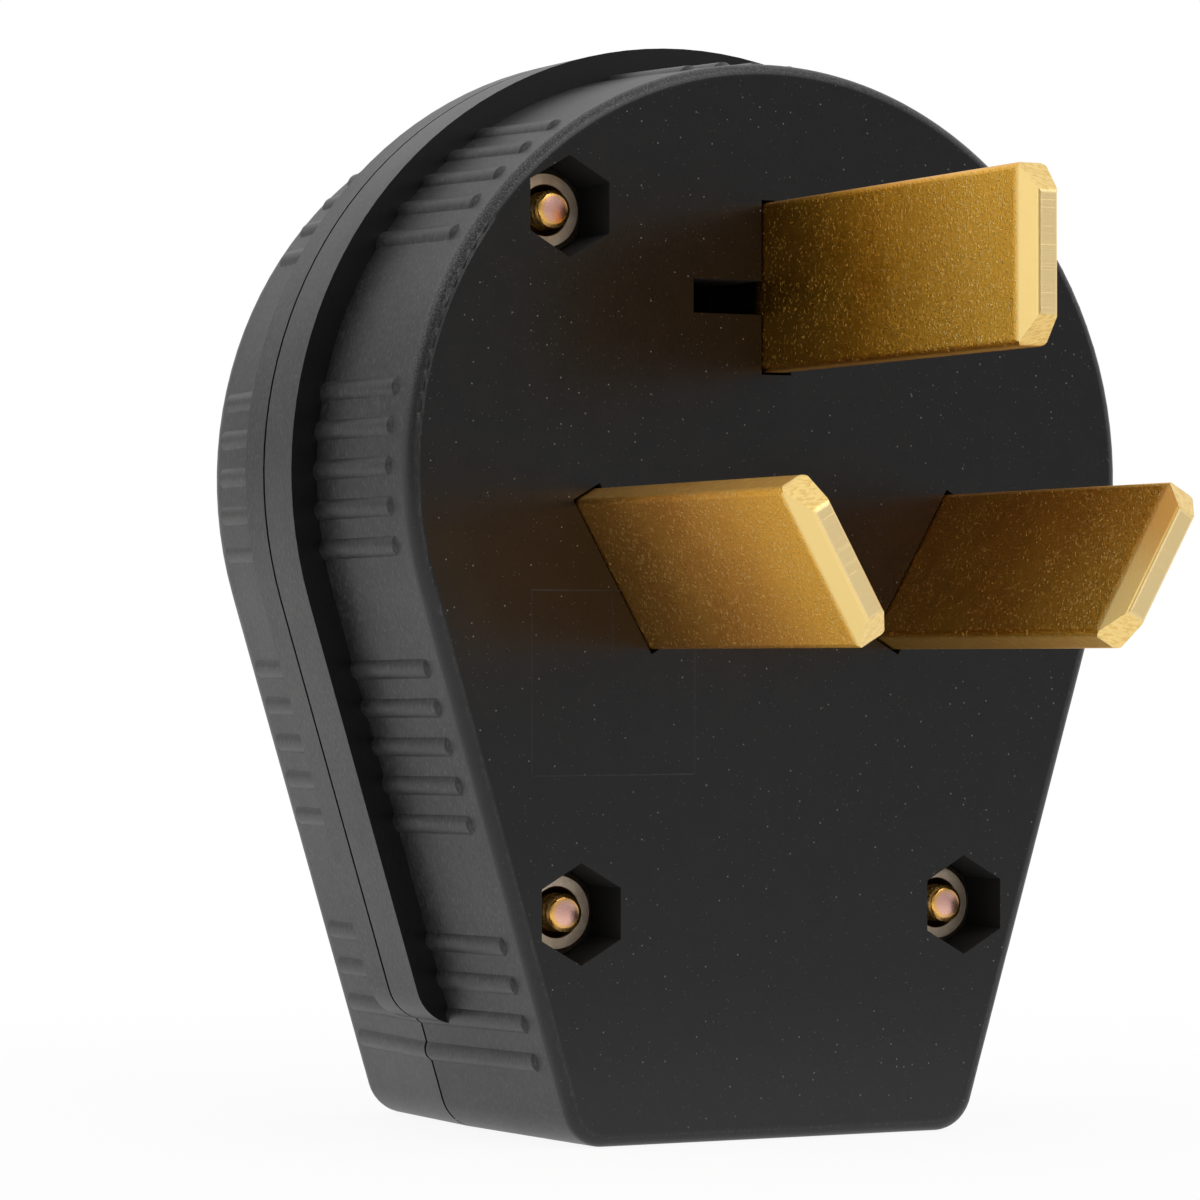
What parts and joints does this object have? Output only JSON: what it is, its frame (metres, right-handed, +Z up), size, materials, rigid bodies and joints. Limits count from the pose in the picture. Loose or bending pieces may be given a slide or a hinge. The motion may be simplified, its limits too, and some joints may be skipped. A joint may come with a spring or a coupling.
{
  "type": "angled plug",
  "caption": "Angled power plug: flat brass blades on a round-headed black housing with grip ribs, split along a rim band, with the cord entry in its base.",
  "frame": {"origin": "centre of the round head, on the flat mating face", "axes": "+Z up, away from the cord entry; -Y out of the mating face along the blades; +X to the right seen from the front"},
  "size_m": [0.0666, 0.0734, 0.0833],
  "materials": {
    "housing": "satin",
    "brass": "brushed",
    "nickel": "polished",
    "zinc_yellow": "satin",
    "zinc_plain": "satin"
  },
  "bodies": {
    "root": {"front_shell": "housing", "rear_shell": "housing", "neutral_blade": "brass", "line_blade_left": "brass", "line_blade_right": "brass", "neutral_clamp": "nickel", "left_clamp": "nickel", "right_clamp": "nickel", "neutral_terminal_screw": "nickel", "left_terminal_screw": "nickel", "right_terminal_screw": "nickel", "housing_screw_upper_left": "zinc_yellow", "housing_nut_upper_left": "zinc_plain", "housing_screw_upper_right": "zinc_yellow", "housing_nut_upper_right": "zinc_plain", "housing_screw_lower_left": "zinc_yellow", "housing_nut_lower_left": "zinc_plain", "housing_screw_lower_right": "zinc_yellow", "housing_nut_lower_right": "zinc_plain"}
  },
  "joints": []
}
